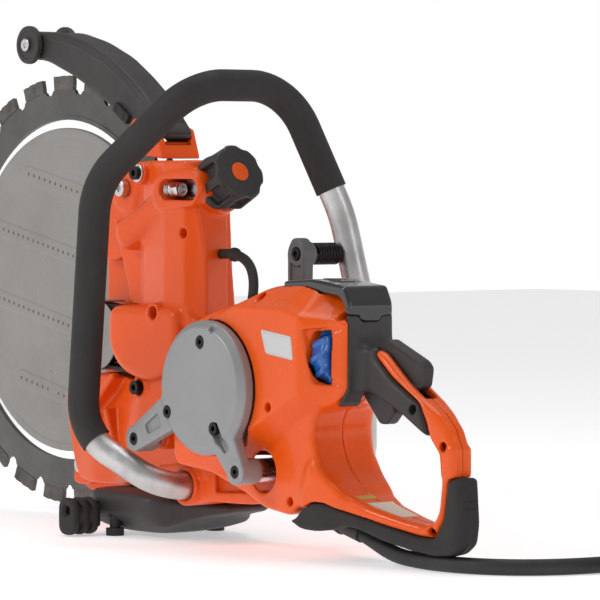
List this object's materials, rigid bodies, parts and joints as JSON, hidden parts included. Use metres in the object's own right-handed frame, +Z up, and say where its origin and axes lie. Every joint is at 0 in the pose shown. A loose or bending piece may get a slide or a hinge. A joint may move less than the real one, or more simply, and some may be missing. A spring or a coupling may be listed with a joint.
{
  "type": "electric concrete ring saw",
  "caption": "Hand-held electric ring saw for concrete: hubless diamond ring on a roller tower, guard with tip wheels, tubular front handle, rear D-handle, skid base and power lead.",
  "frame": {"origin": "centre of the base skid's flat rest face, on the floor", "axes": "+X from the blade to the rear handle, +Y to the tool's right side where the blade is, +Z up"},
  "size_m": [1.1725, 0.3982, 0.4856],
  "materials": {
    "ring_steel": "ground steel with brown haze",
    "diamond_segment": "sintered grit",
    "disc_sheet": "matte sheet",
    "steel": "machined",
    "zinc_steel": "zinc plated",
    "black_steel": "black oxide",
    "aluminium": "satin",
    "aluminium_paint": "silver paint on casting",
    "grey_cast": "grey paint on casting",
    "orange_cast": "satin paint on casting",
    "orange_plastic": "glossy moulded",
    "dark_plastic": "fine grained",
    "gloss_black": "polished",
    "soft_rubber": "soft touch",
    "belt_rubber": "ribbed belt",
    "blue_plastic": "moulded",
    "brass": "machined",
    "board": "circuit board",
    "label_silver": "blank badge",
    "cable_rubber": "ribbed sheath"
  },
  "bodies": {
    "machine": {"centre_disc": "disc_sheet", "shaft_bearings": "steel", "drive_belt": "belt_rubber", "motor_stator": "steel", "motor_housing": "aluminium", "roller_axles": "steel", "tower_casting": "orange_cast", "roller_plate": "orange_cast", "right_arm_cover": "orange_cast", "frame_screws": "black_steel", "slot_bolt": "zinc_steel", "round_cover": "aluminium_paint", "cover_screws": "black_steel", "leg_nut": "zinc_steel", "rear_shell_left": "orange_plastic", "rear_shell_right": "orange_plastic", "top_panel": "gloss_black", "rear_panel": "dark_plastic", "grip_insert": "dark_plastic", "bottom_rubber": "soft_rubber", "lever_pins": "steel", "water_valve": "brass", "control_board": "board", "switch_module": "dark_plastic", "label_plate": "label_silver", "lower_bracket": "orange_cast", "front_handle_tube": "aluminium", "front_grip": "soft_rubber", "av_bracket": "grey_cast", "av_spring": "black_steel", "base_skid": "dark_plastic", "base_feet": "soft_rubber", "bumper": "soft_rubber", "power_cable": "cable_rubber", "cable_gland": "dark_plastic", "cable_coil": "cable_rubber", "cable_plug": "dark_plastic", "water_hose": "cable_rubber"},
    "ring": {"ring_core": "ring_steel", "ring_segments": "diamond_segment"},
    "drive": {"drive_wheel": "steel", "drive_shaft": "steel", "driven_pulley": "aluminium"},
    "rotor": {"motor_rotor": "steel", "motor_pulley": "aluminium"},
    "upper_left_roller": {"upper_left_roller": "steel"},
    "lower_left_roller": {"lower_left_roller": "steel"},
    "upper_right_roller": {"upper_right_roller": "steel"},
    "lower_right_roller": {"lower_right_roller": "steel"},
    "guard": {"guard_shell": "dark_plastic", "guard_holder": "orange_cast", "guard_clips": "dark_plastic", "tip_axle": "zinc_steel"},
    "tip_left": {"tip_wheel_left": "dark_plastic"},
    "tip_right": {"tip_wheel_right": "dark_plastic"},
    "trigger": {"trigger": "dark_plastic"},
    "lockout": {"lockout_lever": "dark_plastic"},
    "thumbwheel": {"water_thumbwheel": "blue_plastic"},
    "knob": {"clamp_knob": "dark_plastic"},
    "button": {"power_button": "gloss_black"}
  },
  "joints": [
    {"name": "ring_spin", "type": "hinge", "parent": "machine", "child": "ring", "pos_m": [-0.228, 0.052, 0.2236], "axis": [0, 1, 0], "continuous": true},
    {"name": "drive_spin", "type": "hinge", "parent": "machine", "child": "drive", "pos_m": [-0.09092, 0.052, 0.18429], "axis": [0, 1, 0], "continuous": true},
    {"name": "rotor_spin", "type": "hinge", "parent": "machine", "child": "rotor", "pos_m": [0.197, 0, 0.148], "axis": [0, 1, 0], "continuous": true},
    {"name": "upper_left_roller_spin", "type": "hinge", "parent": "machine", "child": "upper_left_roller", "pos_m": [-0.07259, 0.052, 0.32452], "axis": [0, 1, 0], "continuous": true},
    {"name": "lower_left_roller_spin", "type": "hinge", "parent": "machine", "child": "lower_left_roller", "pos_m": [-0.14969, 0.052, 0.05566], "axis": [0, 1, 0], "continuous": true},
    {"name": "upper_right_roller_spin", "type": "hinge", "parent": "machine", "child": "upper_right_roller", "pos_m": [-0.07259, 0.052, 0.32452], "axis": [0, 1, 0], "continuous": true},
    {"name": "lower_right_roller_spin", "type": "hinge", "parent": "machine", "child": "lower_right_roller", "pos_m": [-0.14969, 0.052, 0.05566], "axis": [0, 1, 0], "continuous": true},
    {"name": "guard_swing", "type": "hinge", "parent": "machine", "child": "guard", "pos_m": [-0.228, 0.052, 0.2236], "axis": [0, -1, 0], "range_deg": [0, 25]},
    {"name": "tip_left_spin", "type": "hinge", "parent": "guard", "child": "tip_left", "pos_m": [-0.262, 0.052, 0.4666], "axis": [0, 1, 0], "continuous": true},
    {"name": "tip_right_spin", "type": "hinge", "parent": "guard", "child": "tip_right", "pos_m": [-0.262, 0.052, 0.4666], "axis": [0, 1, 0], "continuous": true},
    {"name": "trigger_pull", "type": "hinge", "parent": "machine", "child": "trigger", "pos_m": [0.352, -0.044, 0.156], "axis": [0, -1, 0], "range_deg": [0, 12], "stiffness_Nm_per_rad": 0.6, "springref_deg": -20.05},
    {"name": "lockout_press", "type": "hinge", "parent": "machine", "child": "lockout", "pos_m": [0.376, -0.044, 0.181], "axis": [0, 1, 0], "range_deg": [0, 10], "stiffness_Nm_per_rad": 0.5, "springref_deg": -20.05},
    {"name": "thumbwheel_turn", "type": "hinge", "parent": "machine", "child": "thumbwheel", "pos_m": [0.327, -0.064, 0.179], "axis": [1, 0, 0], "range_deg": [0, 270]},
    {"name": "knob_turn", "type": "hinge", "parent": "machine", "child": "knob", "pos_m": [0.046, 0.014, 0.318], "axis": [0.9135, 0, 0.4067], "range_deg": [0, 360]},
    {"name": "button_press", "type": "slide", "parent": "machine", "child": "button", "axis": [0, 0, -1], "range_m": [0, 0.002], "stiffness_N_per_m": 400, "springref_m": -0.002}
  ],
  "couplings": [
    {"joint": "drive_spin", "follows": "ring_spin", "ratio": 6.5603},
    {"joint": "rotor_spin", "follows": "ring_spin", "ratio": 8.8564},
    {"joint": "upper_left_roller_spin", "follows": "ring_spin", "ratio": -14.417},
    {"joint": "lower_left_roller_spin", "follows": "ring_spin", "ratio": -14.417},
    {"joint": "upper_right_roller_spin", "follows": "ring_spin", "ratio": -14.417},
    {"joint": "lower_right_roller_spin", "follows": "ring_spin", "ratio": -14.417}
  ]
}
